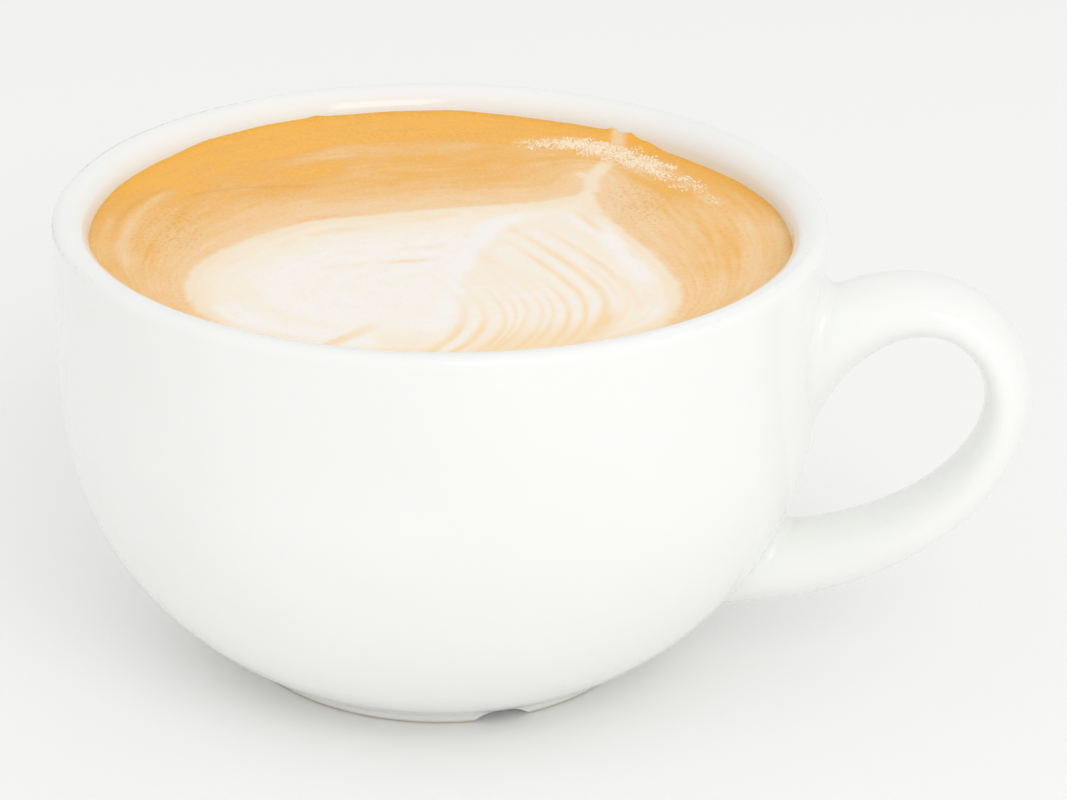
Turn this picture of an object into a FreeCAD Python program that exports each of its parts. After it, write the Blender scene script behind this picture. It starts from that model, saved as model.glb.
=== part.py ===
# Cappuccino in a thick-walled porcelain cup, as a parametric document in millimetres.
# Two solids: the cup, which is one piece with its handle, and the drink that fills it.
# The origin is the middle of the foot on the plane that the cup stands on, with +Z up.
# The handle points along +X.
import FreeCAD, Part
import math
import os
import Sketcher

# Driving sizes: millimetres, degrees, one count and one share of the handle's path.
SIZES = {
    # Bowl, outside
    "rim_diameter": 100.0,
    "cup_height": 61.3,
    "wall_draft": 0.7,
    "bowl_curve": 42.0,
    "foot_diameter": 53.4,
    "foot_height": 1.4,
    "foot_blend": 1.1,
    "foot_edge": 0.5,
    # Bowl, inside, and the lip
    "wall_thickness": 4.6,
    "floor_height": 6.0,
    "floor_blend": 9.0,
    "lip_outer_round": 1.3,
    "lip_flat": 0.1,
    # Underside
    "foot_ring_width": 3.7,
    "recess_depth": 2.0,
    "notch_width": 8.0,
    "notch_height": 1.6,
    "notch_count": 3,
    # Control points of the handle's centre line: "out" counts from the rim's radius,
    # "below" from the top of the rim and "above" from the standing plane.
    "upper_root_out": -3.5,
    "upper_root_below": 17.7,
    "upper_pull_out": 15.7,
    "upper_pull_below": -7.2,
    "outer_pull_out": 40.5,
    "outer_pull_below": 14.9,
    "lower_pull_out": 24.0,
    "lower_pull_above": 16.5,
    "lower_root_out": -14.0,
    "lower_root_above": 14.4,
    # How far the handle runs on straight behind its roots, through the wall
    "upper_root_run": 9.0,
    "lower_root_run": 8.0,
    # Handle's section: thickness in the plane of the loop, width across it
    "upper_root_thickness": 12.4,
    "waist_thickness": 5.8,
    "lower_root_thickness": 11.0,
    "waist_place": 0.43,
    "grip_width": 12.6,
    "root_width": 14.2,
    "upper_handle_blend": 1.3,
    "lower_handle_blend": 1.0,
    # Drink: its level under the top of the rim
    "drink_below": 3.2,
}

# Worked out from the driving sizes. The bowl's curve touches the drafted wall from inside
# and runs into the top of the foot, which settles where its centre lies.
DERIVED = {
    "slope": "tan(Sizes.wall_draft * 1 deg)",
    "wall_line": "Sizes.rim_diameter / 2 * cos(Sizes.wall_draft * 1 deg)"
    " - Sizes.cup_height * sin(Sizes.wall_draft * 1 deg)",
    "reach": "(wall_line - Sizes.bowl_curve) / cos(Sizes.wall_draft * 1 deg) - Sizes.foot_diameter / 2",
    "lean": "reach * slope - Sizes.foot_height",
    "excess": "reach ^ 2 + Sizes.foot_height ^ 2 - Sizes.bowl_curve ^ 2",
    "centre_height": "(sqrt(lean ^ 2 - (1 + slope ^ 2) * excess) - lean) / (1 + slope ^ 2)",
    "centre_radius": "Sizes.foot_diameter / 2 + reach + slope * centre_height",
    "inner_curve": "Sizes.bowl_curve - Sizes.wall_thickness",
    "inner_rim_radius": "Sizes.rim_diameter / 2 - Sizes.wall_thickness / cos(Sizes.wall_draft * 1 deg)",
    "lip_inner_round": "Sizes.wall_thickness - Sizes.lip_outer_round - Sizes.lip_flat",
    "recess_radius": "Sizes.foot_diameter / 2 - Sizes.foot_ring_width",
    "drink_level": "Sizes.cup_height - Sizes.drink_below",
    "notch_curve": "(Sizes.notch_width ^ 2 / 4 + Sizes.notch_height ^ 2) / (2 * Sizes.notch_height)",
}

WHOLE_TURN = 360
HANDLE_SECTIONS = 13
# A cut that has to break through runs on by this much.
CUT_MARGIN = 5.0
# An edge counts as lying at a radius or a height when it is this close to it.
PLACE_TOLERANCE = 0.01

doc = FreeCAD.newDocument("Cappuccino")


def fill_sheet(name, cells, prefix):
    """Makes a sheet with an alias and a content on each row."""
    sheet = doc.addObject("Spreadsheet::Sheet", name)
    for row, (alias, content) in enumerate(cells.items(), start=1):
        sheet.set(f"A{row}", alias)
        sheet.setAlias(f"B{row}", alias)
        sheet.set(f"B{row}", f"{prefix}{content}")
    doc.recompute()
    return sheet


sizes_sheet = fill_sheet("Sizes", SIZES, "")
derived_sheet = fill_sheet("Derived", DERIVED, "=")


def size(alias):
    return float(sizes_sheet.get(alias))


def derived(alias):
    return float(derived_sheet.get(alias))


def plane_sketch(body, name, role):
    """An empty sketch on one of the body's own origin planes."""
    sketch = body.newObject("Sketcher::SketchObject", name)
    plane = next(item for item in body.Origin.OriginFeatures if item.Role == role)
    sketch.AttachmentSupport = [(plane, "")]
    sketch.MapMode = "FlatFace"
    return sketch


def spot(across, up):
    return FreeCAD.Vector(across, up, 0)


def arc(centre, radius, start, end):
    circle = Part.Circle(centre, FreeCAD.Vector(0, 0, 1), radius)
    return Part.ArcOfCircle(circle, start, end)


def hold(sketch, kind, *places):
    sketch.addConstraint(Sketcher.Constraint(kind, *places))


def bind(sketch, kind, places, expression, start):
    """Adds a sized constraint and ties its size to an expression of the sheets."""
    index = sketch.addConstraint(Sketcher.Constraint(kind, *places, start))
    sketch.setExpression(f"Constraints[{index}]", expression)


def closed_lines(sketch, places):
    """Draws lines from each place to the next and back to the first, tied end to end."""
    for first, second in zip(places, places[1:] + places[:1]):
        sketch.addGeometry(Part.LineSegment(first, second), False)
    for index in range(len(places)):
        hold(sketch, "Coincident", index, 2, (index + 1) % len(places), 1)


def revolve(body, kind, name, sketch):
    """Turns a sketch about the cup's axis, as a solid or as a cut."""
    feature = body.newObject(kind, name)
    feature.Profile = sketch
    feature.ReferenceAxis = (sketch, ["V_Axis"])
    feature.Angle = WHOLE_TURN
    doc.recompute()
    return feature


def outer_bowl(body):
    """The bowl's outside as a full solid, with its foot and a sharp lip.

    The curve of the bowl runs through a small hollow blend into the foot's upright side.
    """
    draft = math.radians(size("wall_draft"))
    rim = size("rim_diameter") / 2
    top = size("cup_height")
    foot = size("foot_diameter") / 2
    curve = size("bowl_curve")
    blend = size("foot_blend")
    edge = size("foot_edge")
    centre = spot(derived("centre_radius"), derived("centre_height"))
    wall_end = centre + spot(math.cos(draft), -math.sin(draft)) * curve
    blend_radius = foot + blend
    blend_drop = math.sqrt((curve + blend) ** 2 - (blend_radius - centre.x) ** 2)
    blend_centre = spot(blend_radius, centre.y - blend_drop)
    meet = math.atan2(-blend_drop, blend_radius - centre.x)
    half_turn = math.pi
    quarter_turn = math.pi / 2

    sketch = plane_sketch(body, "BowlProfile", "XZ_Plane")
    axis, lip, wall, bowl, hollow, side, corner, base = range(8)
    sketch.addGeometry(Part.LineSegment(spot(0, 0), spot(0, top)), False)
    sketch.addGeometry(Part.LineSegment(spot(0, top), spot(rim, top)), False)
    sketch.addGeometry(Part.LineSegment(spot(rim, top), wall_end), False)
    sketch.addGeometry(arc(centre, curve, meet, -draft), False)
    sketch.addGeometry(arc(blend_centre, blend, meet + half_turn, half_turn), False)
    sketch.addGeometry(Part.LineSegment(spot(foot, blend_centre.y), spot(foot, edge)), False)
    sketch.addGeometry(arc(spot(foot - edge, edge), edge, -quarter_turn, 0), False)
    sketch.addGeometry(Part.LineSegment(spot(foot - edge, 0), spot(0, 0)), False)
    hold(sketch, "Coincident", axis, 1, -1, 1)
    hold(sketch, "Coincident", axis, 2, lip, 1)
    hold(sketch, "Coincident", lip, 2, wall, 1)
    hold(sketch, "Tangent", wall, 2, bowl, 2)
    hold(sketch, "Tangent", bowl, 1, hollow, 1)
    hold(sketch, "Tangent", hollow, 2, side, 1)
    hold(sketch, "Tangent", side, 2, corner, 2)
    hold(sketch, "Tangent", corner, 1, base, 1)
    hold(sketch, "Coincident", base, 2, axis, 1)
    hold(sketch, "Vertical", axis)
    hold(sketch, "Vertical", side)
    hold(sketch, "Horizontal", lip)
    hold(sketch, "Horizontal", base)
    bind(sketch, "DistanceX", (lip,), "Sizes.rim_diameter / 2", rim)
    bind(sketch, "DistanceY", (axis,), "Sizes.cup_height", top)
    bind(sketch, "Angle", (wall,), "-90 deg - Sizes.wall_draft * 1 deg", -quarter_turn - draft)
    bind(sketch, "Radius", (bowl,), "Sizes.bowl_curve", curve)
    bind(sketch, "DistanceY", (-1, 1, bowl, 3), "Derived.centre_height", centre.y)
    bind(sketch, "Radius", (hollow,), "Sizes.foot_blend", blend)
    bind(sketch, "Radius", (corner,), "Sizes.foot_edge", edge)
    bind(sketch, "DistanceX", (-1, 1, side, 2), "Sizes.foot_diameter / 2", foot)
    return revolve(body, "PartDesign::Revolution", "BowlOutside", sketch)


def inner_sketch(body, name, top_text, top):
    """Half the section of the bowl's inside, from its floor up to a height.

    It has the outside's draft and its curve's centre, so the wall is evenly thick.
    """
    draft = math.radians(size("wall_draft"))
    floor = size("floor_height")
    blend = size("floor_blend")
    curve = derived("inner_curve")
    centre = spot(derived("centre_radius"), derived("centre_height"))
    wall_end = centre + spot(math.cos(draft), -math.sin(draft)) * curve
    top_radius = wall_end.x + (top - wall_end.y) * math.tan(draft)
    blend_drop = centre.y - floor - blend
    blend_centre = spot(centre.x + math.sqrt((curve - blend) ** 2 - blend_drop**2), floor + blend)
    meet = math.atan2(-blend_drop, blend_centre.x - centre.x)

    sketch = plane_sketch(body, name, "XZ_Plane")
    axis, lid, wall, bowl, corner, base = range(6)
    sketch.addGeometry(Part.LineSegment(spot(0, floor), spot(0, top)), False)
    sketch.addGeometry(Part.LineSegment(spot(0, top), spot(top_radius, top)), False)
    sketch.addGeometry(Part.LineSegment(spot(top_radius, top), wall_end), False)
    sketch.addGeometry(arc(centre, curve, meet, -draft), False)
    sketch.addGeometry(arc(blend_centre, blend, -math.pi / 2, meet), False)
    sketch.addGeometry(Part.LineSegment(spot(blend_centre.x, floor), spot(0, floor)), False)
    hold(sketch, "Coincident", axis, 2, lid, 1)
    hold(sketch, "Coincident", lid, 2, wall, 1)
    hold(sketch, "Tangent", wall, 2, bowl, 2)
    hold(sketch, "Tangent", bowl, 1, corner, 2)
    hold(sketch, "Tangent", corner, 1, base, 1)
    hold(sketch, "Coincident", base, 2, axis, 1)
    hold(sketch, "PointOnObject", axis, 1, -2)
    hold(sketch, "Vertical", axis)
    hold(sketch, "Horizontal", lid)
    hold(sketch, "Horizontal", base)
    bind(sketch, "DistanceY", (-1, 1, axis, 1), "Sizes.floor_height", floor)
    bind(sketch, "DistanceY", (-1, 1, axis, 2), top_text, top)
    bind(sketch, "DistanceX", (-1, 1, bowl, 3), "Derived.centre_radius", centre.x)
    bind(sketch, "DistanceY", (-1, 1, bowl, 3), "Derived.centre_height", centre.y)
    bind(sketch, "Angle", (wall,), "-90 deg - Sizes.wall_draft * 1 deg", -math.pi / 2 - draft)
    bind(sketch, "Radius", (bowl,), "Derived.inner_curve", curve)
    bind(sketch, "Radius", (corner,), "Sizes.floor_blend", blend)
    return sketch


def blend_text(values, share):
    """A Bezier sum of the values at a share of the path, as an expression."""
    order = len(values) - 1
    weights = [math.comb(order, k) * share**k * (1 - share) ** (order - k) for k in range(order + 1)]
    return " + ".join(f"({weight:.9f}) * ({text})" for weight, text in zip(weights, values))


def handle_section(body, index):
    """One elliptical section of the handle, square to its centre line.

    The first and the last repeat their neighbours, further along the line into the wall.
    """
    last = HANDLE_SECTIONS - 1
    share = min(max(index - 1, 0) / (last - 2), 1)
    points = ["upper_root", "upper_pull", "outer_pull", "lower_pull", "lower_root"]
    across = [f"Sizes.rim_diameter / 2 + Sizes.{name}_out" for name in points]
    upward = [f"Sizes.cup_height - Sizes.{name}_below" for name in points[:3]]
    upward += [f"Sizes.{name}_above" for name in points[3:]]
    across_steps = [f"{after} - ({before})" for before, after in zip(across, across[1:])]
    upward_steps = [f"{after} - ({before})" for before, after in zip(upward, upward[1:])]
    direction = f"atan2({blend_text(upward_steps, share)}; {blend_text(across_steps, share)})"

    sketch = plane_sketch(body, f"HandleSection{index + 1}", "XY_Plane")
    tilt = FreeCAD.Rotation(FreeCAD.Vector(0, 1, 0), WHOLE_TURN / 8)
    sketch.AttachmentOffset = FreeCAD.Placement(FreeCAD.Vector(0, 0, 0), tilt)
    run = {0: "Sizes.upper_root_run", last: "-Sizes.lower_root_run"}.get(index, "0")
    place_x = f"{blend_text(across, share)} - ({run}) * cos({direction})"
    place_z = f"{blend_text(upward, share)} - ({run}) * sin({direction})"
    sketch.setExpression("AttachmentOffset.Base.x", f"({place_x}) * 1 mm")
    sketch.setExpression("AttachmentOffset.Base.z", f"({place_z}) * 1 mm")
    sketch.setExpression("AttachmentOffset.Rotation.Angle", f"90 deg - {direction}")

    # The thickness grows from the waist towards each root, the width only near the roots.
    waist = "Sizes.waist_place"
    if share < size("waist_place"):
        thickening = f"(({waist} - {share:.9f}) / {waist}) ^ 2"
        root = "Sizes.upper_root_thickness"
    else:
        thickening = f"(({share:.9f} - {waist}) / (1 - {waist})) ^ 2"
        root = "Sizes.lower_root_thickness"
    thickness = f"Sizes.waist_thickness + {thickening} * ({root} - Sizes.waist_thickness)"
    widening = (2 * share - 1) ** 4
    width = f"Sizes.grip_width + {widening:.9f} * (Sizes.root_width - Sizes.grip_width)"

    half_width = size("grip_width") / 2
    half_thickness = size("waist_thickness") / 2
    sketch.addGeometry(Part.Ellipse(spot(0, half_width), spot(half_thickness, 0), spot(0, 0)), False)
    sketch.exposeInternalGeometry(0)
    ellipse, long_axis, short_axis = range(3)
    hold(sketch, "Coincident", ellipse, 3, -1, 1)
    hold(sketch, "Vertical", long_axis)
    bind(sketch, "Distance", (long_axis,), width, 2 * half_width)
    bind(sketch, "Distance", (short_axis,), thickness, 2 * half_thickness)
    return sketch


def handle(body):
    """The handle's loop, lofted through its sections; both ends run on into the wall."""
    sections = [handle_section(body, index) for index in range(HANDLE_SECTIONS)]
    loop = body.newObject("PartDesign::AdditiveLoft", "Handle")
    loop.Profile = sections[0]
    loop.Sections = sections[1:]
    loop.Ruled = False
    doc.recompute()
    return loop


def fillet(body, name, base, keep, radius_text):
    """Rounds the edges of a feature that a test keeps."""
    edges = [f"Edge{index}" for index, edge in enumerate(base.Shape.Edges, start=1) if keep(edge)]
    rounded = body.newObject("PartDesign::Fillet", name)
    rounded.Base = (base, edges)
    rounded.setExpression("Radius", radius_text)
    doc.recompute()
    return rounded


def is_circle(edge, radius, height):
    """Whether an edge is a circle about the cup's axis at this radius and height."""
    if edge.Degenerated or not isinstance(edge.Curve, Part.Circle):
        return False
    near_radius = abs(edge.Curve.Radius - radius) < PLACE_TOLERANCE
    return near_radius and abs(edge.Curve.Center.z - height) < PLACE_TOLERANCE


def is_handle_root(base, edge):
    """Whether an edge lies between the handle's lofted surface and the bowl."""
    faces = base.Shape.ancestorsOfType(edge, Part.Face)
    lofted = [isinstance(face.Surface, Part.BSplineSurface) for face in faces]
    return True in lofted and False in lofted


def root_blend(body, name, base, upper, radius_text):
    """Rounds one of the handle's two roots into the bowl."""
    middle = size("cup_height") / 2

    def keep(edge):
        return is_handle_root(base, edge) and (edge.CenterOfMass.z > middle) == upper

    return fillet(body, name, base, keep, radius_text)


def recess(body):
    """The shallow hollow inside the foot ring."""
    radius = derived("recess_radius")
    depth = size("recess_depth")
    sketch = plane_sketch(body, "RecessProfile", "XZ_Plane")
    low = -CUT_MARGIN
    closed_lines(sketch, [spot(0, low), spot(radius, low), spot(radius, depth), spot(0, depth)])
    bottom, side, roof, axis = range(4)
    hold(sketch, "Horizontal", bottom)
    hold(sketch, "Horizontal", roof)
    hold(sketch, "Vertical", side)
    hold(sketch, "PointOnObject", axis, 1, -2)
    hold(sketch, "PointOnObject", axis, 2, -2)
    bind(sketch, "DistanceX", (bottom,), "Derived.recess_radius", radius)
    bind(sketch, "DistanceY", (-1, 1, axis, 1), "Sizes.recess_depth", depth)
    bind(sketch, "DistanceY", (side,), f"Sizes.recess_depth + {CUT_MARGIN}", depth + CUT_MARGIN)
    return revolve(body, "PartDesign::Groove", "Recess", sketch)


def notches(body):
    """Shallow arches through the foot ring, which let water drain out of the recess."""
    curve = derived("notch_curve")
    sketch = plane_sketch(body, "NotchProfile", "YZ_Plane")
    sketch.addGeometry(Part.Circle(spot(0, -curve), FreeCAD.Vector(0, 0, 1), curve), False)
    hold(sketch, "PointOnObject", 0, 3, -2)
    bind(sketch, "Radius", (0,), "Derived.notch_curve", curve)
    bind(sketch, "DistanceY", (0, 3, -1, 1), "Derived.notch_curve - Sizes.notch_height", curve)
    notch = body.newObject("PartDesign::Pocket", "Notch")
    notch.Profile = sketch
    notch.Type = "ThroughAll"
    doc.recompute()
    pattern = body.newObject("PartDesign::PolarPattern", "Notches")
    pattern.Originals = [notch]
    pattern.Axis = (next(item for item in body.Origin.OriginFeatures if item.Role == "Z_Axis"), [""])
    pattern.Angle = WHOLE_TURN
    pattern.setExpression("Occurrences", "Sizes.notch_count")
    body.Tip = pattern
    doc.recompute()
    return pattern


def cup():
    """The cup: bowl, foot and handle in one piece, hollowed last so nothing shows inside."""
    body = doc.addObject("PartDesign::Body", "Cup")
    body.Label = "cup"
    outer_bowl(body)
    loop = handle(body)
    upper = root_blend(body, "UpperRootBlend", loop, True, "Sizes.upper_handle_blend")
    root_blend(body, "LowerRootBlend", upper, False, "Sizes.lower_handle_blend")
    top_text = f"Sizes.cup_height + {CUT_MARGIN}"
    inside = inner_sketch(body, "InsideProfile", top_text, size("cup_height") + CUT_MARGIN)
    hollow = revolve(body, "PartDesign::Groove", "Inside", inside)

    height = size("cup_height")
    rim = size("rim_diameter") / 2
    inner_rim = derived("inner_rim_radius")

    def is_inner_lip(edge):
        return is_circle(edge, inner_rim, height)

    def is_outer_lip(edge):
        return is_circle(edge, rim, height)

    lip = fillet(body, "LipInside", hollow, is_inner_lip, "Derived.lip_inner_round")
    fillet(body, "LipOutside", lip, is_outer_lip, "Sizes.lip_outer_round")
    recess(body)
    notches(body)
    return body


def drink():
    """The coffee and its milk foam, one solid from the cup's floor up to its level."""
    body = doc.addObject("PartDesign::Body", "Drink")
    body.Label = "drink"
    sketch = inner_sketch(body, "DrinkProfile", "Derived.drink_level", derived("drink_level"))
    revolve(body, "PartDesign::Revolution", "DrinkSolid", sketch)
    return body


parts = [cup(), drink()]
doc.recompute()

for item in doc.Objects:
    if "Invalid" in item.State or "Error" in item.State:
        raise RuntimeError(f"{item.Name} failed: {item.State}")
for part in parts:
    if part.Shape.isNull() or not part.Shape.isValid() or len(part.Shape.Solids) != 1:
        raise RuntimeError(f"{part.Label} is not one valid solid")

os.makedirs("parts", exist_ok=True)
for part in parts:
    part.Shape.exportStep(f"parts/{part.Label}.step")
    box = part.Shape.BoundBox
    print(part.Label, f"volume {part.Shape.Volume:.0f} mm3", f"box {box.XMin:.2f} {box.XMax:.2f}",
          f"{box.YMin:.2f} {box.YMax:.2f} {box.ZMin:.2f} {box.ZMax:.2f}")
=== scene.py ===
import math

import bpy
import numpy as np
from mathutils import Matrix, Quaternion, Vector


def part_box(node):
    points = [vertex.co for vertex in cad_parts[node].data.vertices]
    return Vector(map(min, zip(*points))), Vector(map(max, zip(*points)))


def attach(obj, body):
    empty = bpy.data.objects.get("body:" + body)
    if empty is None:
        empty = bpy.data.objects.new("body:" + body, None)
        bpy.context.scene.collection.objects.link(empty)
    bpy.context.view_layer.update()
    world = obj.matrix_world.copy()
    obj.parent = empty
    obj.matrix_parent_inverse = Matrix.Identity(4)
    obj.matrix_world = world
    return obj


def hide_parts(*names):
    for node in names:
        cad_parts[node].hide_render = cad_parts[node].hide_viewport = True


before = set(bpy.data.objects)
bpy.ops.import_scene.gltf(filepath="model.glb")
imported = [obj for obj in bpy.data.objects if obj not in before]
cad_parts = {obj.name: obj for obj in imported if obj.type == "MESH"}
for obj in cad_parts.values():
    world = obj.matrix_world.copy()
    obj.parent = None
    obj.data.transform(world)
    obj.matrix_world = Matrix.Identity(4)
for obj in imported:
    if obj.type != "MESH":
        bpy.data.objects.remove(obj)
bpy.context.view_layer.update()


# ---- Cup ------------------------------------------------------------------------------------
# Slip-cast porcelain, bowl and loop handle in one piece under a clear glossy glaze.
# The solid from the frame is the cup itself and gets its finish here. The ring that it
# stood on in the kiln is wiped bare, so the glaze stops just above the standing edge.
bpy.ops.object.select_all(action="DESELECT")
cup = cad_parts["cup"]
cup_low, cup_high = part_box("cup")
cup_height = cup_high[2] - cup_low[2]


def tone(red, green, blue):
    """A colour given in 0 to 255 display values, as the linear colour that a shader takes."""
    shares = [channel / 255 for channel in (red, green, blue)]
    linear = [s / 12.92 if s <= 0.04045 else ((s + 0.055) / 1.055) ** 2.4 for s in shares]
    return (*linear, 1.0)


def new_material(name, roughness):
    """A material with its tree, its links and its surface shader, ready for more nodes."""
    material = bpy.data.materials.new(name)
    material.use_nodes = True
    shader = material.node_tree.nodes["Principled BSDF"]
    shader.inputs["Roughness"].default_value = roughness
    return material, material.node_tree, shader


def add_node(tree, kind, settings=None, inputs=None):
    """A node with some of its settings and unlinked inputs filled in."""
    node = tree.nodes.new(kind)
    for name, value in (settings or {}).items():
        setattr(node, name, value)
    for name, value in (inputs or {}).items():
        node.inputs[name].default_value = value
    return node


def maths(tree, operation, first, second=0.0, clamp=False):
    """One step of arithmetic between sockets and numbers; returns its result's socket."""
    node = tree.nodes.new("ShaderNodeMath")
    node.operation = operation
    node.use_clamp = clamp
    for socket, value in zip(node.inputs, (first, second)):
        if isinstance(value, bpy.types.NodeSocket):
            tree.links.new(value, socket)
        else:
            socket.default_value = value
    return node.outputs[0]


def step_between(tree, value, low, high):
    """Goes smoothly from 0 at low to 1 at high."""
    node = add_node(tree, "ShaderNodeMapRange", {"interpolation_type": "SMOOTHSTEP"})
    tree.links.new(value, node.inputs["Value"])
    node.inputs["From Min"].default_value = low
    node.inputs["From Max"].default_value = high
    return node.outputs["Result"]


def mix_colours(tree, share, first, second):
    """Mixes two colours, each a socket or a fixed tone, by a share from 0 to 1."""
    node = add_node(tree, "ShaderNodeMix", {"data_type": "RGBA"})
    tree.links.new(share, node.inputs["Factor"])
    for socket, value in ((node.inputs[6], first), (node.inputs[7], second)):
        if isinstance(value, bpy.types.NodeSocket):
            tree.links.new(value, socket)
        else:
            socket.default_value = value
    return node.outputs[2]


GLAZE_WHITE = tone(246, 247, 244)
GLAZE_COOL = tone(243, 244, 241)
BARE_CLAY = tone(226, 219, 206)
PINHOLE = tone(186, 176, 160)
# Painted light: a cool tint for the inner wall round the drink's edge, against the warm light that the crema
# reflects onto the wall.
PAINTED_COOL_TINT = tone(236, 246, 252)
INNER_WALL = (0.0462, 0.0475)
PAINTED_COOL_ABOVE = (0.045, 0.05)
PAINTED_COOL_BELOW = (0.0575, 0.0608)
GLAZE_STOPS_AT = 0.0006
GLAZE_ROUGHNESS = 0.1
BARE_ROUGHER = 0.6
PINHOLE_SHARE = 0.2
PINHOLE_STRENGTH = 0.4

porcelain, tree, shader = new_material("glazed_porcelain", GLAZE_ROUGHNESS)
shader.inputs["IOR"].default_value = 1.5
shader.inputs["Subsurface Weight"].default_value = 0.08
shader.inputs["Subsurface Radius"].default_value = (0.004, 0.0035, 0.003)
shader.inputs["Subsurface Scale"].default_value = 1.0
place = add_node(tree, "ShaderNodeTexCoord").outputs["Object"]
split = add_node(tree, "ShaderNodeSeparateXYZ")
tree.links.new(place, split.inputs["Vector"])
clouds = add_node(tree, "ShaderNodeTexNoise", inputs={"Scale": 28.0, "Detail": 3.0})
tree.links.new(place, clouds.inputs["Vector"])
glaze = mix_colours(tree, step_between(tree, clouds.outputs["Fac"], 0.35, 0.7), GLAZE_WHITE, GLAZE_COOL)
specks = add_node(tree, "ShaderNodeTexVoronoi", inputs={"Scale": 26.0})
tree.links.new(place, specks.inputs["Vector"])
speck_share = maths(tree, "SUBTRACT", 1.0, step_between(tree, specks.outputs["Distance"], 0.006, 0.013))
rare = add_node(tree, "ShaderNodeSeparateColor")
tree.links.new(specks.outputs["Color"], rare.inputs["Color"])
few_cells = maths(tree, "GREATER_THAN", rare.outputs["Red"], 1.0 - PINHOLE_SHARE)
pinholes = maths(tree, "MULTIPLY", speck_share, few_cells)
glaze = mix_colours(tree, maths(tree, "MULTIPLY", pinholes, PINHOLE_STRENGTH), glaze, PINHOLE)
# Painted light: the inner wall is tinted cool from below the drink's level up to just above it, fading out
# towards the rim, to cancel the crema's warm reflected light.
flat_place = add_node(tree, "ShaderNodeVectorMath", {"operation": "MULTIPLY"})
flat_place.inputs[1].default_value = (1.0, 1.0, 0.0)
tree.links.new(place, flat_place.inputs[0])
from_axis = add_node(tree, "ShaderNodeVectorMath", {"operation": "LENGTH"})
tree.links.new(flat_place.outputs["Vector"], from_axis.inputs[0])
inside = maths(tree, "SUBTRACT", 1.0, step_between(tree, from_axis.outputs["Value"], *INNER_WALL))
low_down = maths(tree, "SUBTRACT", 1.0, step_between(tree, split.outputs["Z"], *PAINTED_COOL_BELOW))
high_up = step_between(tree, split.outputs["Z"], *PAINTED_COOL_ABOVE)
painted_cool_share = maths(tree, "MULTIPLY", maths(tree, "MULTIPLY", inside, low_down), high_up)
glaze = mix_colours(tree, painted_cool_share, glaze, PAINTED_COOL_TINT)
glazed = step_between(tree, split.outputs["Z"], GLAZE_STOPS_AT * 0.5, GLAZE_STOPS_AT)
bare = maths(tree, "SUBTRACT", 1.0, glazed)
tree.links.new(mix_colours(tree, bare, glaze, BARE_CLAY), shader.inputs["Base Color"])
roughness = maths(tree, "ADD", maths(tree, "MULTIPLY", bare, BARE_ROUGHER), GLAZE_ROUGHNESS)
tree.links.new(roughness, shader.inputs["Roughness"])
ripple = add_node(tree, "ShaderNodeTexNoise", inputs={"Scale": 90.0, "Detail": 2.0})
tree.links.new(place, ripple.inputs["Vector"])
bump = add_node(tree, "ShaderNodeBump", inputs={"Strength": 0.12, "Distance": 0.0004})
tree.links.new(ripple.outputs["Fac"], bump.inputs["Height"])
tree.links.new(bump.outputs["Normal"], shader.inputs["Normal"])
cup.data.materials.clear()
cup.data.materials.append(porcelain)


# ---- Drink ----------------------------------------------------------------------------------
# Espresso with steamed milk, filling the bowl as one closed solid that is let a hair into the
# wall. Its skin is fine-bubbled crema, into which the milk was poured as a ribbed leaf with a
# tail. The solid is spun about the cup's axis, then its skin is raised and marked by place.
MM = 0.001
LEVEL = 58.1
WALL_RADIUS = 45.36
SKIN_RADIUS = 45.6
SKIN_RINGS = 150
SKIN_SPOKES = 480
DRINK_FLOOR = 5.8
BOWL_CENTRE_OUT = 7.7
BOWL_CENTRE_UP = 38.9
BOWL_CURVE = 37.65
BOWL_TURNS = range(0, 61, 6)
FLOOR_RADIUS = 18.0
POUR_TURN = math.radians(12.0)


def extrude_to(radius, height):
    """Runs the outline on from its last corner to a radius and a height."""
    last = outline_corners[-1]
    step = ((radius - last[0]) * MM, 0, (height - last[1]) * MM)
    bpy.ops.mesh.extrude_vertices_move(TRANSFORM_OT_translate={"value": step})
    outline_corners.append((radius, height))


bpy.ops.object.select_all(action="DESELECT")
bpy.ops.mesh.primitive_plane_add(size=MM, location=(0, 0, LEVEL * MM))
drink = bpy.context.object
drink.name = "drink_with_crema"
bpy.ops.object.transform_apply(location=True, rotation=True, scale=True)
bpy.ops.object.mode_set(mode="EDIT")
bpy.ops.mesh.select_all(action="SELECT")
bpy.ops.mesh.merge(type="CENTER")
outline_corners = [(0.0, LEVEL)]
for ring in range(SKIN_RINGS):
    extrude_to(SKIN_RADIUS * (ring + 1) / SKIN_RINGS, LEVEL)
for turn in BOWL_TURNS:
    turned = math.radians(turn)
    out = BOWL_CENTRE_OUT + BOWL_CURVE * math.cos(turned)
    extrude_to(out, BOWL_CENTRE_UP - BOWL_CURVE * math.sin(turned))
extrude_to(FLOOR_RADIUS, DRINK_FLOOR)
extrude_to(0.0, DRINK_FLOOR)
bpy.ops.mesh.select_all(action="SELECT")
bpy.ops.mesh.spin(steps=SKIN_SPOKES, angle=math.tau, center=(0, 0, 0), axis=(0, 0, 1))
bpy.ops.mesh.select_all(action="SELECT")
bpy.ops.mesh.remove_doubles(threshold=0.002 * MM)
bpy.ops.mesh.normals_make_consistent(inside=False)
bpy.ops.object.mode_set(mode="OBJECT")
bpy.ops.object.shade_smooth()

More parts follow.
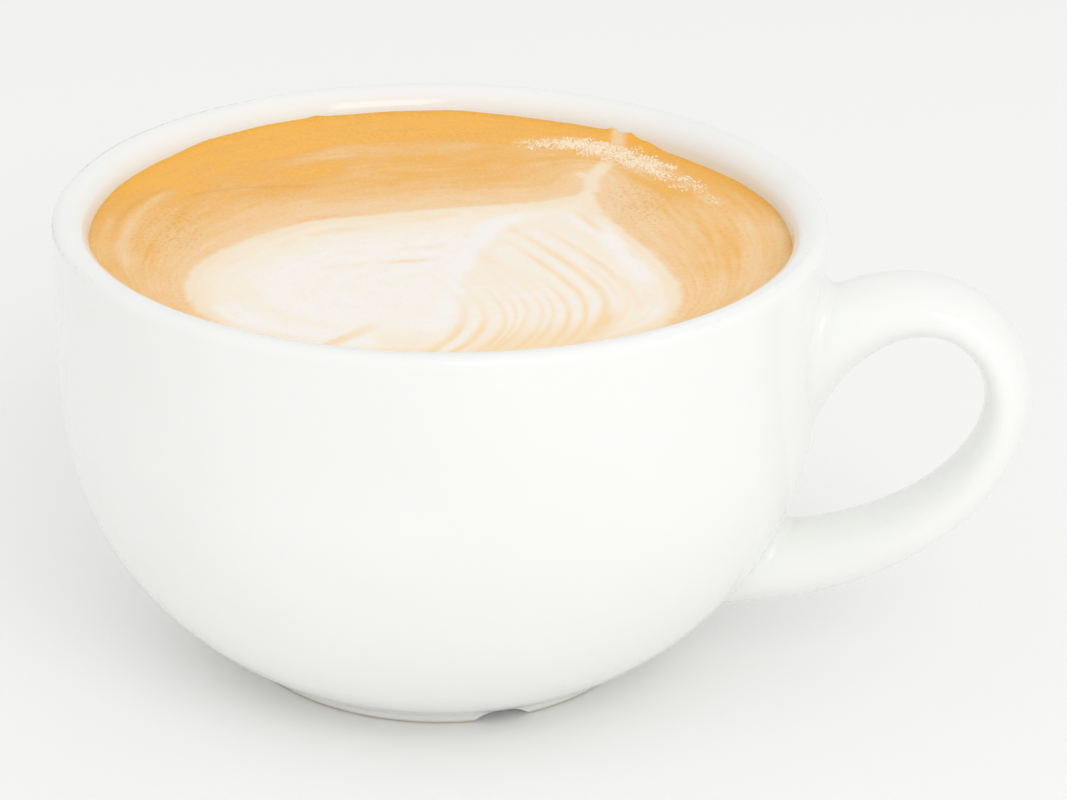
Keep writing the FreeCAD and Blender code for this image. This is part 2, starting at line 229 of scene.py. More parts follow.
# Places on the skin are given in millimetres as the barista sees them: x to the right and y
# away, with the cup's handle turned a little towards the front.
points = np.empty(len(drink.data.vertices) * 3)
drink.data.vertices.foreach_get("co", points)
points = points.reshape(-1, 3) / MM
on_skin = points[:, 2] > LEVEL - 0.01
out_from_axis = np.hypot(points[:, 0], points[:, 1])
turn_cos, turn_sin = math.cos(POUR_TURN), math.sin(POUR_TURN)
pour_x = points[:, 0] * turn_cos + points[:, 1] * turn_sin
pour_y = points[:, 1] * turn_cos - points[:, 0] * turn_sin
bearing = np.degrees(np.arctan2(pour_y, pour_x))


def smooth_line(corners, steps=8):
    """A smooth open line through all the corners."""
    corners = np.array(corners, dtype=float)
    ends = 2 * corners[[0, -1]] - corners[[1, -2]]
    padded = np.vstack([ends[:1], corners, ends[1:]])
    share = np.linspace(0, 1, steps, endpoint=False)[:, None]
    line = []
    for a, b, c, d in zip(padded, padded[1:], padded[2:], padded[3:]):
        bend = 2 * b + (c - a) * share + (2 * a - 5 * b + 4 * c - d) * share**2
        line.append((bend + (3 * b - a - 3 * c + d) * share**3) / 2)
    return np.vstack([*line, corners[-1:]])


def near_line(line):
    """For each point of the skin, its distance to a line and how far along the line it lies."""
    nearest = np.full(len(points), np.inf)
    along = np.zeros(len(points))
    for index, ((x0, y0), (x1, y1)) in enumerate(zip(line, line[1:])):
        run = max((x1 - x0) ** 2 + (y1 - y0) ** 2, 1e-12)
        share = np.clip(((pour_x - x0) * (x1 - x0) + (pour_y - y0) * (y1 - y0)) / run, 0, 1)
        gap = np.hypot(pour_x - x0 - share * (x1 - x0), pour_y - y0 - share * (y1 - y0))
        closer = gap < nearest
        nearest[closer] = gap[closer]
        along[closer] = ((index + share) / (len(line) - 1))[closer]
    return nearest, along


def ease(value, low, high):
    """Goes smoothly from 0 at low to 1 at high."""
    share = np.clip((value - low) / (high - low), 0, 1)
    return share * share * (3 - 2 * share)


def stroke(corners, half_width, strength=1.0, fade=0.15):
    """A soft line on the skin that thins out towards both ends."""
    gap, along = near_line(smooth_line(corners))
    ends = ease(along, 0, fade) * (1 - ease(along, 1 - fade, 1))
    return strength * ends * np.exp(-((gap / half_width) ** 2))


def strongest(strokes):
    """Several soft lines at once. Where they cross, the strongest one counts."""
    return np.max([stroke(*parts) for parts in strokes], axis=0)


# The leaf's outline, from its tip round the left side, the hidden front and the right side
LEAF = (
    (20.3, 20), (18.6, 14.5), (15, 11.6), (10, 9.7), (0, 7.4), (-10, 4.8), (-18, 2), (-25, -4), (-30, -11),
    (-32, -18), (-31, -25), (-27, -32), (-20, -38), (-10, -41.5), (0, -42.5), (10, -41), (18, -37.5),
    (25.6, -32.5), (28.9, -26.5), (30, -19.5), (27.8, -10), (24.6, -2), (21.8, 5), (20.5, 12), (20.3, 20),
)
leaf_line = smooth_line(LEAF)
leaf_gap = near_line(leaf_line)[0]
crossings = np.zeros(len(points), dtype=int)
for (x0, y0), (x1, y1) in zip(leaf_line, leaf_line[1:]):
    spans = (y0 > pour_y) != (y1 > pour_y)
    crossings += spans & (pour_x < x0 + (pour_y - y0) * (x1 - x0) / (y1 - y0 if y1 != y0 else 1e-12))
in_leaf = crossings % 2 == 1
leaf_depth = np.where(in_leaf, leaf_gap, -leaf_gap)

# The tail that the last of the milk drew from the leaf's tip to the back wall
TAIL = ((19.9, 15), (20.1, 19), (21.4, 23), (22.8, 27), (24, 32), (24.5, 37), (24.4, 42), (24.4, 46))
TAIL_HALF_WIDTH = 0.95
TAIL_BRANCH = ((17.9, 21.8), (18.9, 20.9), (20, 19.6))
tail_gap, tail_along = near_line(smooth_line(TAIL))
tail_half_width = TAIL_HALF_WIDTH - 0.1 * ease(tail_along, 0.35, 0.7)
tail = 1 - ease(tail_gap, tail_half_width * 0.6, tail_half_width * 1.6)
tail *= 1 - 0.35 * ease(tail_along, 0.3, 0.45)
tail *= 1 - 0.7 * ease(tail_along, 0.36, 0.46) * (1 - ease(tail_along, 0.55, 0.66))
tail = np.maximum(tail, stroke(TAIL_BRANCH, 0.8, fade=0.3))

# Ribs: lines of crema drawn through the leaf's right half. Each is numbered by how far out it
# bulges; behind the bulge it leans back towards the tip, and in front it curls under the leaf.
# The inner ones also sweep a little to one side in front. Lean, curl and sweep differ from rib
# to rib, so the number of the rib at a place is found in a few rounds.
RIB_BULGE_AT = -28.0
RIB_BULGE_RISE = 0.7
RIB_LEAN = 0.62
RIB_SHOULDER = 8.0
RIB_CURLS = (15.0, 21.0)
RIBS = (2.7, 4.9, 7.3, 8.9, 10.5, 12.4, 13.9, 15.5, 17.7, 20.1, 23.2)
RIB_SWEEP_AT = (2, 4.9, 7.3, 8.9, 10.5, 12.4, 13.9, 15.5)
RIB_SWEEPS = (0.06, 0.1, 0.15, 0.06, -0.04, 0, -0.06, 0)
RIB_SWEEP_FROM = -25.0
RIB_SWEEP_REACH = 13.0
RIB_SPAN = 26.0
RIB_ROUNDS = 8
rib_place = pour_x.copy()
for _ in range(RIB_ROUNDS):
    past_bulge = pour_y - RIB_BULGE_AT - RIB_BULGE_RISE * np.clip(rib_place - 15.0, 0, 9)
    leaned = RIB_LEAN * (np.hypot(past_bulge, RIB_SHOULDER) - RIB_SHOULDER)
    curled = past_bulge**2 / (2 * np.interp(rib_place, (8, 16), RIB_CURLS))
    sweep = np.interp(rib_place, RIB_SWEEP_AT, RIB_SWEEPS)
    swept = sweep * np.clip(pour_y - RIB_SWEEP_FROM, -RIB_SWEEP_REACH, 0)
    rib_place = pour_x + np.where(past_bulge > 0, leaned, curled) + swept

# By rib: where it ends at the back and where it fades in front, and how faint it is. Along the
# ribs their strength wavers.
RIB_BACK_ENDS = (
    (0, -29), (6, -28), (7.3, -21), (13, -21), (15.5, -19), (16.5, -17), (17.5, -5), (19.2, -4), (20.5, 2),
)
RIB_FRONT_ENDS = ((11, -45), (12.4, -38), (15.5, -34.5), (17.7, -32), (20.6, -31.5), (22, -20), (23.2, -16))
RIB_FAINTNESS = ((0, 1.0), (5.5, 1.0), (7.5, 0.5), (14, 0.5), (15.5, 0.85), (21.5, 0.95), (23.2, 0.7))
rib_back_end = np.interp(rib_place, *zip(*RIB_BACK_ENDS))
rib_front_end = np.interp(rib_place, *zip(*RIB_FRONT_ENDS))
rib_strength = 1 - ease(pour_y, rib_back_end - 8, rib_back_end + 4)
rib_strength *= 1 - 0.7 * ease(rib_front_end - pour_y, -1.5, 2.5)
rib_strength *= 0.86 + 0.14 * np.sin(pour_y * 0.85 + rib_place * 2.1)
rib_strength += 0.15 * (1 - ease(pour_y, -20, -8)) * (1 - rib_strength)
rib_strength *= ease(rib_place, 1.2, 2.4) * (1 - ease(rib_place, 23.4, 25.0))
rib_strength *= np.interp(rib_place, *zip(*RIB_FAINTNESS))
rib_strength *= np.interp(pour_y, (-40, -30, -20, -10, 0), (1.0, 0.85, 0.8, 0.9, 0.5))

# Streaks of crema caught in the milk, and the tan wash where the ribs run together in front.
# Each streak is its line, its half width, its strength and the share that fades at its ends.
STREAKS = (
    (((16.6, 8.4), (18.4, 4.6), (20, 1), (21.8, -2.8)), 0.75, 0.75, 0.4),
    (((18, -12), (20, -16), (21.2, -19.5), (21.6, -23)), 0.45, 0.35, 0.15),
    (((21.9, -15.5), (23.4, -20), (24.2, -24), (24, -27.5)), 0.5, 0.35, 0.15),
    (((23.4, -5), (24.4, -8), (24.6, -11)), 0.7, 0.3, 0.4),
    (((20.2, -25.5), (20, -29.5), (19, -33.5)), 0.9, 0.45, 0.4),
    (((-9, -12.4), (-5.5, -11.7), (-3, -11.3), (1.2, -10.2)), 0.5, 0.8, 0.4),
    (((-16, -14.5), (-12.5, -13.4), (-8.5, -12.2)), 0.8, 0.22, 0.3),
    (((-18, -3.6), (-16, -2.4), (-12.5, -0.8), (-8, 0.2)), 0.8, 0.5, 0.3),
    (((-21, -8), (-19.5, -5.6), (-17.5, -4)), 0.8, 0.3, 0.3),
    (((-9, 1.6), (-3, 2.6), (0, 4.2), (4, 5.4)), 0.6, 0.3, 0.3),
    (((-7, -7.6), (-2, -6.6), (1.6, -5.2)), 0.7, 0.25, 0.3),
    (((4.4, -5), (5.6, -10), (6.4, -15)), 1.1, 0.3, 0.45),
    (((9, 2.4), (9.4, -0.6), (10.6, -3.4)), 0.7, 0.4, 0.45),
)
WEDGE_STRENGTH = 0.85
streaks = strongest(STREAKS)
wedge_edge = np.interp(pour_y, (-44, -38, -34, -30), (-16, -14.4, -10.6, -8.2))
wedge = ease(pour_x - wedge_edge, -0.25, 0.25) * (1 - ease(pour_x - wedge_edge, 0.8, 3.4))
streaks = np.maximum(streaks, WEDGE_STRENGTH * wedge * ease(-pour_y, 30, 37))
wash_back = np.interp(rib_place, (12, 18, 21), (29.5, 27, 23))
wash = ease(-pour_y, wash_back, wash_back + 8) * ease(rib_place, 3.0, 9.0) * (1 - ease(rib_place, 21.0, 24.0))

# Where the milk lies thickest it is nearly white: along its spine, in a ridge outside the ribs
# and round the leaf's left
SPINE = ((15, 8), (9, 3.5), (6, 0), (4, -6), (2.8, -10), (1.4, -15), (0.8, -21), (0.3, -30), (-2, -41))
DENSE_RIDGES = (
    (SPINE, 2.2, 1.0),
    (((-27, -24), (-22, -31), (-14, -35.5), (-6, -38)), 3.6, 0.75),
    (((13, 8), (17, 5), (20.2, 0), (22, -5), (23.6, -9.5), (25.2, -16), (25.6, -22)), 1.8, 1.0, 0.3),
    (((26, -18), (26.6, -24), (24, -32)), 1.6, 0.45, 0.3),
)
spine_x = np.interp(pour_y, (-41, -30, -15, -6, 3.5, 9), (-2, 0.3, 1.4, 4, 9, 17))
left_of_spine = 1 - ease(pour_x - spine_x, -0.5, 2.5)
dense = np.maximum(ease(leaf_depth, 3, 12) * (0.3 + 0.4 * left_of_spine), strongest(DENSE_RIDGES))

# How deep the crema's colour is, from pale next to the leaf to deep orange at the wall, with
# soft lines that are deeper or paler than what lies round them
DEEPER_LINES = (
    (((-29, 17.5), (-24, 19.4), (-18, 21.6), (-12, 23)), 2.6, 0.2),
    (((-9, 25.5), (-2, 26.6), (5, 26.2), (13, 26.4)), 2.2, 0.14),
    (((22.5, 22.5), (25.5, 20.6), (28, 18), (30, 15), (31.2, 11)), 1.6, 0.32, 0.35),
    (((-42.2, -6), (-41.9, 0), (-41, 6), (-38.6, 12)), 0.9, 0.14),
    (((35.5, 4), (37, -2), (36.8, -9), (35, -16)), 2.0, 0.1),
    (((30.6, 5), (32.4, -5), (32.4, -15), (29.6, -25)), 2.4, 0.14, 0.3),
    (((17, 27), (16, 22), (17, 16)), 2.6, 0.13, 0.3),
    (((-36.8, -3), (-36.6, -12), (-34, -20)), 1.4, 0.16, 0.3),
)
PALE_ARC = ((-35, 12), (-31, 17.2), (-26.6, 21.8), (-20, 25.8), (-13, 28.6), (-6, 30.4), (3, 30.6))
PALER_LINES = (
    (PALE_ARC, 2.1, 0.24, 0.2),
    (((-38, -16), (-40.3, -9), (-40.6, -2), (-39.8, 5), (-37.2, 11), (-34, 15)), 1.0, 0.3),
    (((38.6, 9), (39.8, 3), (40.2, -5), (39.4, -13), (36.4, -22)), 1.5, 0.26, 0.25),
    (((43.4, 6), (43.6, -2), (42, -12), (38, -21)), 2.0, 0.16),
)
crema = 0.08 + ease(-leaf_depth, 1, 11) * (0.33 + 0.27 * ease(pour_y, 0, 16))
crema += 0.12 * ease(pour_x, 20, 30) * ease(-pour_y, -6, 4)
crema += 0.06 * ease(-pour_x, 5, 20)
crema += 0.12 * ease(-pour_x, 22, 35)
# Towards the back wall the crema reaches its deepest tone. The deep orange there is the crema's own, but the
# tone is painted lighter than the one before it to offset the shade next to the wall.
deep_back = 0.4 * ease(out_from_axis, 32, 36.5) * ease(pour_y, 6, 27)
crema += deep_back * (1 - 0.75 * ease(pour_x, 14, 30)) * (1 - 0.45 * ease(-pour_x, 28, 38))
crema += 0.15 * ease(out_from_axis, 41.0, 44.0) * ease(pour_y, 4, 24)
for parts in DEEPER_LINES:
    crema += stroke(*parts)
for parts in PALER_LINES:
    crema -= stroke(*parts)
crema += 0.12 * (1 - ease(WALL_RADIUS - out_from_axis, 0.1, 0.8)) * ease(pour_y, -30, 0)
crema = np.clip(crema, 0, 1)

# How the skin was drawn out as it turned: lines run along the leaf inside it and next to it,
# and along the wall at the edge
wall_gap = np.clip(SKIN_RADIUS - out_from_axis, 0, None)
flow_across = np.where(in_leaf, -leaf_gap, 22 * leaf_gap / (leaf_gap + wall_gap + 0.01))
flow_along = WALL_RADIUS * np.stack([np.cos(np.radians(bearing)), np.sin(np.radians(bearing))])

# Pores: where burst bubbles left pits in the crema. Each field is its middle, its half sizes
# and its strength, and a few pores lie everywhere.
PORE_FIELDS = (
    ((25.5, 10), (4.8, 8.5), 1.0),
    ((-35, -1), (5, 10), 0.9),
    ((-26, 13), (9, 5), 0.6),
    ((1, 35.5), (20, 2.6), 0.6),
)
PORES_EVERYWHERE = 0.12
pores = np.full(len(points), PORES_EVERYWHERE)
for (middle_x, middle_y), (half_x, half_y), strength in PORE_FIELDS:
    reach = ((pour_x - middle_x) / half_x) ** 4 + ((pour_y - middle_y) / half_y) ** 4
    pores = np.maximum(pores, strength * np.exp(-reach))

# Thin brown lines where the crema folded over itself
FOLDS = (
    (((-35.5, 8.6), (-32, 12.2), (-27, 14.4), (-20, 15.4), (-14, 15.8)), 0.4, 0.8, 0.3),
    (((-42, -4), (-42, 2), (-40.6, 8), (-38, 12.6), (-35, 16)), 0.4, 0.6, 0.3),
    (((-26, 24), (-18, 27), (-8, 28.4), (2, 28.6)), 0.35, 0.4, 0.4),
)
stain = strongest(FOLDS)

# A band of froth that the pour pushed against the back wall
FROTH = (
    (11.5, 33), (15, 33), (19, 32.6), (22.5, 30.6), (26, 27.8), (29, 24.6), (31.4, 21), (34, 16), (36.6, 11),
)
froth_line = smooth_line(FROTH)
froth_gap, froth_along = near_line(froth_line)
froth_half_width = 2.8 - 1.3 * ease(froth_along, 0.6, 0.9) - 0.8 * (1 - ease(froth_along, 0.0, 0.12))
froth = 1 - ease(froth_gap, froth_half_width * 0.5, froth_half_width * 1.4)
froth *= (0.4 + 0.6 * ease(froth_along, 0.1, 0.35)) * (1 - 0.75 * ease(froth_along, 0.5, 0.75))

# The skin's height. The edge clings to the wall at a height that differs round the cup, and
# climbs it where the tail ends and at one old splash. A climb has a bearing, a width and a height.
EDGE_HEIGHTS = {
    -180: 57.8, -90: 57.8, -40: 57.5, 0: 57.2, 12: 57.4, 24: 57.1, 40: 56.95, 47: 57.0, 52: 57.6, 60: 58.0,
    74: 58.05, 86: 58.45, 100: 58.45, 120: 58.6, 135: 58.6, 145: 58.15, 165: 58.15, 180: 57.8,
}
EDGE_REACH = 7.0
MENISCUS = 0.2
CLIMBS = ((58.4, 1.1, 0.55), (54.6, 1.2, 0.55), (56.5, 3.0, 0.25), (50.5, 1.6, 0.2), (113, 1.2, 0.22))
CLIMB_REACH = 0.45
MILK_RISE = 0.12
TAIL_RISE = 0.06
FROTH_RISE = 0.15
WAVES = 0.05
edge_height = np.interp(bearing, list(EDGE_HEIGHTS), list(EDGE_HEIGHTS.values()))
edge_height += WAVES * np.sin(np.radians(bearing) * 23) * np.sin(np.radians(bearing) * 7 + 1)
climb = sum(height * np.exp(-(((bearing - at) / width) ** 2)) for at, width, height in CLIMBS)
from_wall = np.clip(WALL_RADIUS - out_from_axis, 0, None)
skin = LEVEL + (edge_height - MENISCUS - LEVEL) * np.exp(-from_wall / EDGE_REACH)
skin += (MENISCUS + climb) * np.exp(-from_wall / CLIMB_REACH)
skin += MILK_RISE * ease(leaf_depth, -0.4, 1.2) + TAIL_RISE * tail
skin += WAVES * np.sin(pour_x / 5.1 + 1) * np.sin(pour_y / 6.3) + FROTH_RISE * froth
points[on_skin, 2] = skin[on_skin]
drink.data.vertices.foreach_set("co", (points * MM).ravel())
drink.data.update()

marks = {
    "leaf_depth": leaf_depth, "tail": tail, "rib_place": rib_place / RIB_SPAN, "rib_strength": rib_strength,
    "streaks": streaks, "wash": wash, "dense": dense, "crema": crema, "pores": pores, "froth": froth,
    "stain": stain,
}
for name, values in marks.items():
    drink.data.attributes.new(name, "FLOAT", "POINT").data.foreach_set("value", values)
flow = np.stack([flow_across, *flow_along], axis=1)
drink.data.attributes.new("flow", "FLOAT_VECTOR", "POINT").data.foreach_set("vector", flow.ravel())

MILK = tone(254, 240, 220)
MILK_DENSE = tone(252, 247, 242)
MILK_EDGE = tone(252, 231, 200)
RIB_TAN = tone(253, 221, 174)
# The deepest tone, at the back wall, is lighter than the one before it. This is painted light against the
# shade next to the wall, while the orange itself is the crema's own.
CREMA_TONES = {
    0.0: tone(251, 214, 168), 0.5: tone(247, 196, 124), 0.85: tone(246, 179, 72), 1.0: tone(253, 184, 66),
}
PORE_BROWN = tone(200, 132, 58)
FROTH_CREAM = tone(255, 238, 206)
FROTH_SHADE = tone(234, 182, 116)
TAIL_TINT = 0.92
RIB_SHARPNESS = 2.4
RIB_DIP = 0.5
RIDGE_TINT = 0.6
WASH_TINT = 0.68
FROTH_TINT = 0.8
PIT_CELL = 0.75
PIT_OPENING = 0.3
PIT_TINT = 0.26
FOLD_TINT = 0.3
GRAIN_RELIEF = 0.25
RELIEF_HEIGHT = 0.15

foam, tree, shader = new_material("milk_foam_and_crema", 0.42)
shader.inputs["IOR"].default_value = 1.34
shader.inputs["Specular IOR Level"].default_value = 0.4
shader.inputs["Subsurface Weight"].default_value = 0.15
shader.inputs["Subsurface Radius"].default_value = (0.002, 0.0013, 0.0008)
shader.inputs["Subsurface Scale"].default_value = 1.0
place = add_node(tree, "ShaderNodeTexCoord").outputs["Object"]


def mark(name):
    """The mark of this name that lies on the skin."""
    return add_node(tree, "ShaderNodeAttribute", {"attribute_name": name}).outputs["Fac"]


def grain(size, detail=2.0):
    """Noise between -1 and 1 with grains of about this size in millimetres."""
    noise = add_node(tree, "ShaderNodeTexNoise", inputs={"Scale": 1.0 / (size * MM), "Detail": detail})
    tree.links.new(place, noise.inputs["Vector"])
    return maths(tree, "MULTIPLY", maths(tree, "SUBTRACT", noise.outputs["Fac"], 0.5), 2.0)


def add(first, second, times=1.0):
    """First plus second taken this many times."""
    return maths(tree, "ADD", first, maths(tree, "MULTIPLY", second, times))


def drawn_grain(across, along):
    """Noise between -1 and 1 drawn out along the skin's flow, with grains of these sizes."""
    stretch = add_node(tree, "ShaderNodeMapping", {"vector_type": "POINT"})
    stretch.inputs["Scale"].default_value = (1 / across, 1 / along, 1 / along)
    flow_mark = add_node(tree, "ShaderNodeAttribute", {"attribute_name": "flow"})
    tree.links.new(flow_mark.outputs["Vector"], stretch.inputs["Vector"])
    noise = add_node(tree, "ShaderNodeTexNoise", inputs={"Scale": 1.0, "Detail": 3.0, "Roughness": 0.6})
    tree.links.new(stretch.outputs["Vector"], noise.inputs["Vector"])
    return maths(tree, "MULTIPLY", maths(tree, "SUBTRACT", noise.outputs["Fac"], 0.5), 2.0)


slow_grain = grain(6.0, 3.0)
fine_grain = grain(0.5, 3.0)
drawn = drawn_grain(1.2, 14.0)
crema_share = add(add(add(mark("crema"), slow_grain, 0.2), fine_grain, 0.42), drawn, 0.4)
crema_ramp = add_node(tree, "ShaderNodeValToRGB")
crema_stops = crema_ramp.color_ramp.elements
crema_stops[0].color, crema_stops[1].color = CREMA_TONES[0.0], CREMA_TONES[1.0]
for share in (0.5, 0.85):
    crema_stops.new(share).color = CREMA_TONES[share]
tree.links.new(crema_share, crema_ramp.inputs["Fac"])

leaf_depth_mark = mark("leaf_depth")
leaf_share = step_between(tree, add(leaf_depth_mark, grain(1.6, 3.0), 0.7), -0.6, 0.75)
milk_share = maths(tree, "MAXIMUM", leaf_share, maths(tree, "MULTIPLY", mark("tail"), TAIL_TINT))
milk_depth = maths(tree, "MAXIMUM", add(add(leaf_depth_mark, slow_grain, 1.5), drawn, 3.0), mark("tail"))
milk = mix_colours(tree, step_between(tree, milk_depth, 0.0, 5.5), MILK_EDGE, MILK)
dense_share = step_between(tree, add(add(mark("dense"), slow_grain, 0.25), drawn, 0.5), 0.0, 1.0)
milk = mix_colours(tree, dense_share, milk, MILK_DENSE)

ribs = add_node(tree, "ShaderNodeValToRGB")
ribs.color_ramp.interpolation = "EASE"
stops = ribs.color_ramp.elements
stops[0].color, stops[1].color = (0, 0, 0, 1), (0, 0, 0, 1)
for rib, next_rib in zip(RIBS, (*RIBS[1:], RIB_SPAN - 1.0)):
    stops.new(rib / RIB_SPAN).color = (1, 0, 0, 1)
    stops.new((rib + next_rib) / 2 / RIB_SPAN).color = (0, 1, 0, 1)
tree.links.new(add(mark("rib_place"), grain(3.0), 0.006), ribs.inputs["Fac"])
rib_or_ridge = add_node(tree, "ShaderNodeSeparateColor")
tree.links.new(ribs.outputs["Color"], rib_or_ridge.inputs["Color"])
rib_profile = maths(tree, "POWER", rib_or_ridge.outputs["Red"], RIB_SHARPNESS)
rib_share = maths(tree, "MULTIPLY", rib_profile, mark("rib_strength"))
ridge_share = maths(tree, "MULTIPLY", rib_or_ridge.outputs["Green"], mark("rib_strength"))
milk = mix_colours(tree, maths(tree, "MULTIPLY", ridge_share, RIDGE_TINT), milk, MILK_DENSE)
tan_share = maths(tree, "MAXIMUM", rib_share, mark("streaks"))
wash_share = maths(tree, "MULTIPLY", mark("wash"), WASH_TINT)
tan_share = maths(tree, "ADD", tan_share, wash_share, clamp=True)
milk = mix_colours(tree, tan_share, milk, RIB_TAN)

skin_colour = mix_colours(tree, milk_share, crema_ramp.outputs["Color"], milk)
froth_tint = mix_colours(tree, step_between(tree, grain(0.7, 2.0), -0.3, 0.15), FROTH_SHADE, FROTH_CREAM)
froth_share = maths(tree, "MULTIPLY", add(mark("froth"), fine_grain, 0.4), FROTH_TINT, clamp=True)
skin_colour = mix_colours(tree, froth_share, skin_colour, froth_tint)

pit_scale = 1.0 / (PIT_CELL * MM)
pits = add_node(tree, "ShaderNodeTexVoronoi", {"voronoi_dimensions": "2D"}, {"Scale": pit_scale})
tree.links.new(place, pits.inputs["Vector"])
pit_kind = add_node(tree, "ShaderNodeSeparateColor")
tree.links.new(pits.outputs["Color"], pit_kind.inputs["Color"])
pit_open = maths(tree, "LESS_THAN", pit_kind.outputs["Red"], mark("pores"))
pit_size = maths(tree, "MULTIPLY", pit_kind.outputs["Green"], mark("pores"))
pit_size = maths(tree, "MULTIPLY", pit_size, PIT_OPENING)
pit_shape = maths(tree, "SUBTRACT", add(pit_size, 0.1), pits.outputs["Distance"])
pit_share = maths(tree, "MULTIPLY", step_between(tree, pit_shape, 0.0, 0.08), pit_open)
pit_share = maths(tree, "MULTIPLY", pit_share, maths(tree, "SUBTRACT", 1.0, milk_share))
stain_share = maths(tree, "MULTIPLY", mark("stain"), FOLD_TINT)
pit_tint = maths(tree, "MAXIMUM", maths(tree, "MULTIPLY", pit_share, PIT_TINT), stain_share)
tree.links.new(mix_colours(tree, pit_tint, skin_colour, PORE_BROWN), shader.inputs["Base Color"])

relief = add(maths(tree, "MULTIPLY", fine_grain, GRAIN_RELIEF), pit_share, -1.0)
relief = add(relief, rib_share, -RIB_DIP)
bump = add_node(tree, "ShaderNodeBump", inputs={"Strength": 0.5, "Distance": RELIEF_HEIGHT * MM})
tree.links.new(relief, bump.inputs["Height"])
tree.links.new(bump.outputs["Normal"], shader.inputs["Normal"])
drink.data.materials.append(foam)
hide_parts("drink")
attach(drink, "root")


# ---- Froth bubbles --------------------------------------------------------------------------
# Fine soap-like bubbles of milk that stayed whole in the band of froth, each a low dome seated
# in the crema. One dome is modelled, and set down many times over in one piece.
CLUMPS = 320
CLUMP_BUBBLES = 6
CLUMP_SPREAD = 0.4
BUBBLE_RADII = (0.07, 0.28)
BUBBLE_CUT = -0.25
BUBBLE_FLATNESS = 0.7
WALL_CLEARANCE = 0.6
SEED = 7
bpy.ops.object.select_all(action="DESELECT")
bpy.ops.mesh.primitive_ico_sphere_add(subdivisions=2, radius=1.0, location=(0, 0, 0))
bubble = bpy.context.object
bubble.name = "froth_bubbles"
bpy.ops.object.mode_set(mode="EDIT")
bpy.ops.mesh.select_all(action="SELECT")
bpy.ops.mesh.bisect(plane_co=(0, 0, BUBBLE_CUT), plane_no=(0, 0, 1), clear_inner=True, use_fill=True)
bpy.ops.mesh.select_all(action="SELECT")
bpy.ops.transform.resize(value=(1.0, 1.0, BUBBLE_FLATNESS), center_override=(0, 0, 0))
bpy.ops.object.mode_set(mode="OBJECT")

dome = np.array([corner.co for corner in bubble.data.vertices])
dome_faces = [np.array(face.vertices) for face in bubble.data.polygons]
chance = np.random.default_rng(SEED)
corners, faces = [], []
froth_steps = len(froth_line) - 1
for _ in range(CLUMPS):
    along = chance.beta(1.7, 2.3) * froth_steps
    step = int(along)
    centre = froth_line[step] + (along - step) * (froth_line[step + 1] - froth_line[step])
    half_width = float(np.interp(along / froth_steps, (0, 0.12, 0.5, 0.75, 1), (1.4, 2.6, 3.0, 2.6, 1.6)))
    centre = centre + chance.normal(0, half_width * 0.5, 2)
    for x, y in centre + chance.normal(0, CLUMP_SPREAD, (CLUMP_BUBBLES, 2)):
        row_x, row_y = x * turn_cos - y * turn_sin, x * turn_sin + y * turn_cos
        if math.hypot(row_x, row_y) > WALL_RADIUS - WALL_CLEARANCE:
            continue
        seat = drink.ray_cast((row_x * MM, row_y * MM, cup_height), (0, 0, -1))[1]
        radius = BUBBLE_RADII[0] + (BUBBLE_RADII[1] - BUBBLE_RADII[0]) * chance.beta(1.3, 3.0)
        first = len(corners) * len(dome)
        corners.append(np.array(seat) + dome * radius * MM)
        faces.extend((face_corners + first).tolist() for face_corners in dome_faces)
# Painted light and shade: each dome's colour goes from darker at its foot to paler at its top, standing in
# for the bubbles' highlights and the shade between them.
painted_top_light = np.tile(ease(dome[:, 2], -0.1, 0.6), len(corners))
bubble.data.clear_geometry()
bubble.data.from_pydata(np.vstack(corners).tolist(), [], faces)
bubble.data.attributes.new("painted_top_light", "FLOAT", "POINT").data.foreach_set("value", painted_top_light)
bpy.ops.object.shade_smooth()

bubble_film, tree, shader = new_material("froth_bubble_film", 0.25)
shader.inputs["IOR"].default_value = 1.34
shader.inputs["Coat Weight"].default_value = 0.25
shader.inputs["Coat Roughness"].default_value = 0.1
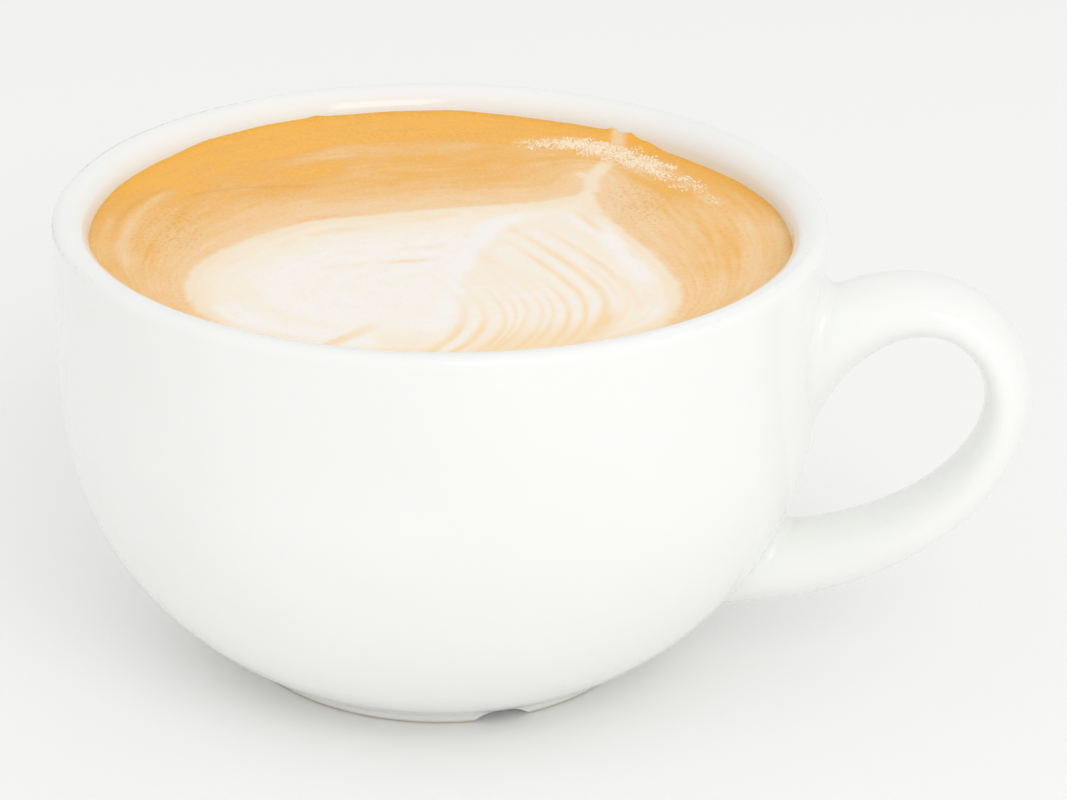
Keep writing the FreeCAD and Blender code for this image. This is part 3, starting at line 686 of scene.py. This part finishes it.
# The paler top of each dome is a painted highlight, and its darker foot is painted shade.
bubble_colour = mix_colours(tree, mark("painted_top_light"), tone(246, 206, 148), tone(255, 240, 212))
tree.links.new(bubble_colour, shader.inputs["Base Color"])
bubble.data.materials.append(bubble_film)
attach(bubble, "root")


# ---- Floor, lamp and camera -----------------------------------------------------------------
# A pale table top that runs back out of sight, soft light from all round, and one broad lamp in
# front on the right as from a window.
FLOOR_SIZE = 6.0
ROOM_LIGHT = 0.85
LAMP_PLACE = Vector((0.58, -0.84, 0.78))
LAMP_TARGET = Vector((0, 0, 0.03))
LAMP_SIZE = 0.7
LAMP_POWER = 3.3
bpy.ops.mesh.primitive_plane_add(size=FLOOR_SIZE, location=(0, 0, 0))
floor = bpy.context.object
floor.name = "floor"
floor_look, tree, shader = new_material("pale_floor", 0.8)
shader.inputs["Base Color"].default_value = tone(251, 251, 250)
shader.inputs["Specular IOR Level"].default_value = 0.1
floor.data.materials.append(floor_look)

world = bpy.data.worlds.new("room")
world.use_nodes = True
background = world.node_tree.nodes["Background"]
background.inputs["Color"].default_value = (1.0, 1.0, 1.0, 1.0)
background.inputs["Strength"].default_value = ROOM_LIGHT
bpy.context.scene.world = world

bpy.ops.object.light_add(type="AREA", location=LAMP_PLACE)
lamp = bpy.context.object
lamp.name = "window_lamp"
lamp.data.size = LAMP_SIZE
lamp.data.energy = LAMP_POWER
lamp.rotation_mode = "QUATERNION"
lamp.rotation_quaternion = (LAMP_TARGET - LAMP_PLACE).to_track_quat("-Z", "Y")

CAMERA_PLACE = Vector((0.0879, -0.4136, 0.2220))
CAMERA_TARGET = Vector((0.01202, 0.00255, 0.03401))
CAMERA_ROLL = math.radians(1.096)
CAMERA_LENS = 118.1
bpy.ops.object.camera_add(location=CAMERA_PLACE)
camera = bpy.context.object
camera.name = "camera"
camera.data.lens = CAMERA_LENS
camera.data.sensor_width = 36.0
camera.data.clip_start = 0.01
camera.rotation_mode = "QUATERNION"
facing = (CAMERA_TARGET - CAMERA_PLACE).to_track_quat("-Z", "Y")
camera.rotation_quaternion = facing @ Quaternion((0, 0, 1), CAMERA_ROLL)
bpy.context.scene.camera = camera
bpy.context.scene.view_settings.view_transform = "Standard"
